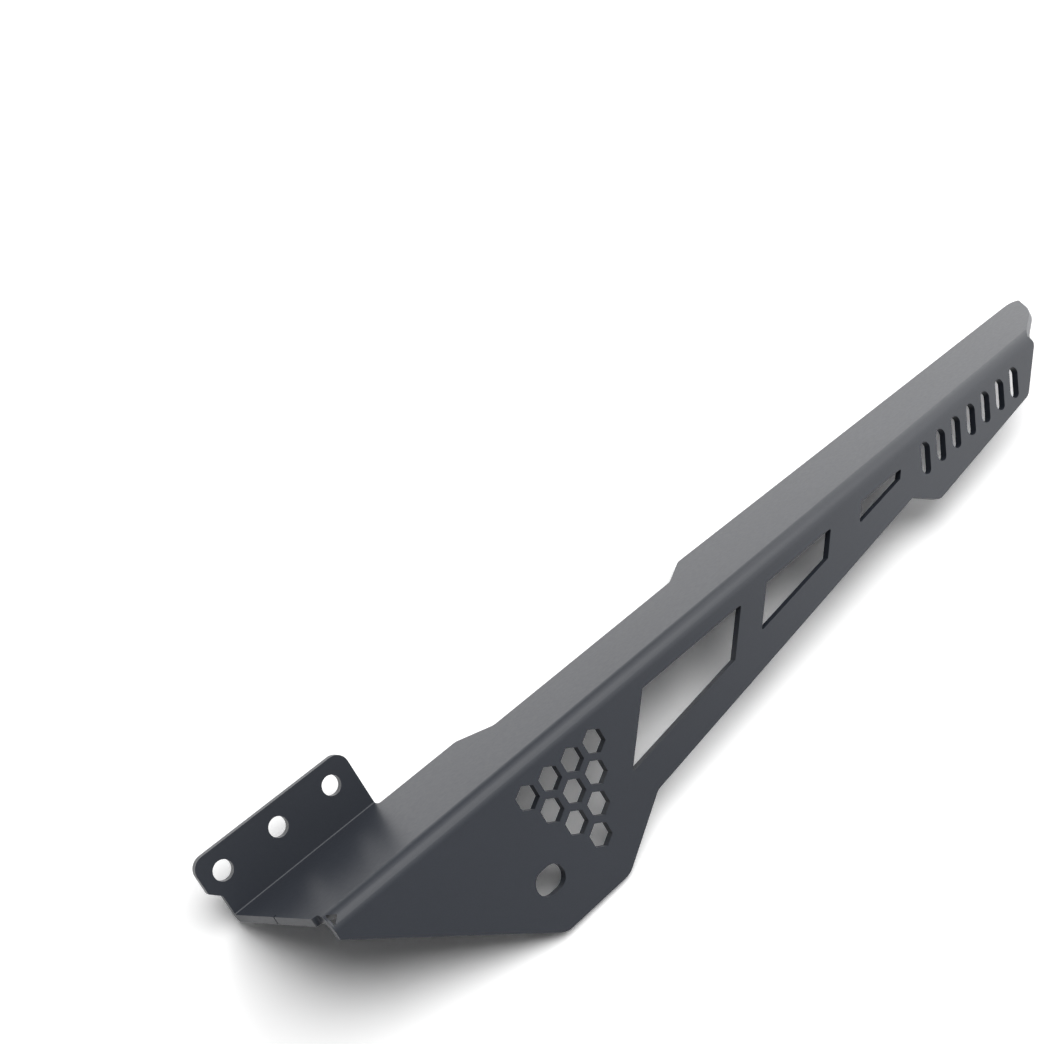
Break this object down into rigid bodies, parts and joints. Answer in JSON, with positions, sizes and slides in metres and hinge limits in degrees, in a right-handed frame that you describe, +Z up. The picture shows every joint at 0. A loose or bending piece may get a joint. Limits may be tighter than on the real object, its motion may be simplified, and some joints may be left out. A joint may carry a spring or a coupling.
{
  "type": "motorcycle chain guard",
  "caption": "Folded sheet chain guard: a slim side plate with windows, vents and a mesh field, a flange over the chain, and a drilled tab turned up at the front.",
  "frame": {"origin": "middle of the footprint, on the surface that the guard lies on", "axes": "+X along the guard towards its tail, +Y towards the flange's far edge and the tab, +Z up from the surface. The guard lies like a tent, on the foot of its side plate and the rear edge of its flange."},
  "size_m": [0.3972, 0.0904, 0.04],
  "materials": {
    "powder_coat": "satin black powder coat on aluminium"
  },
  "bodies": {
    "root": {"chain_guard": "powder_coat"}
  },
  "joints": []
}
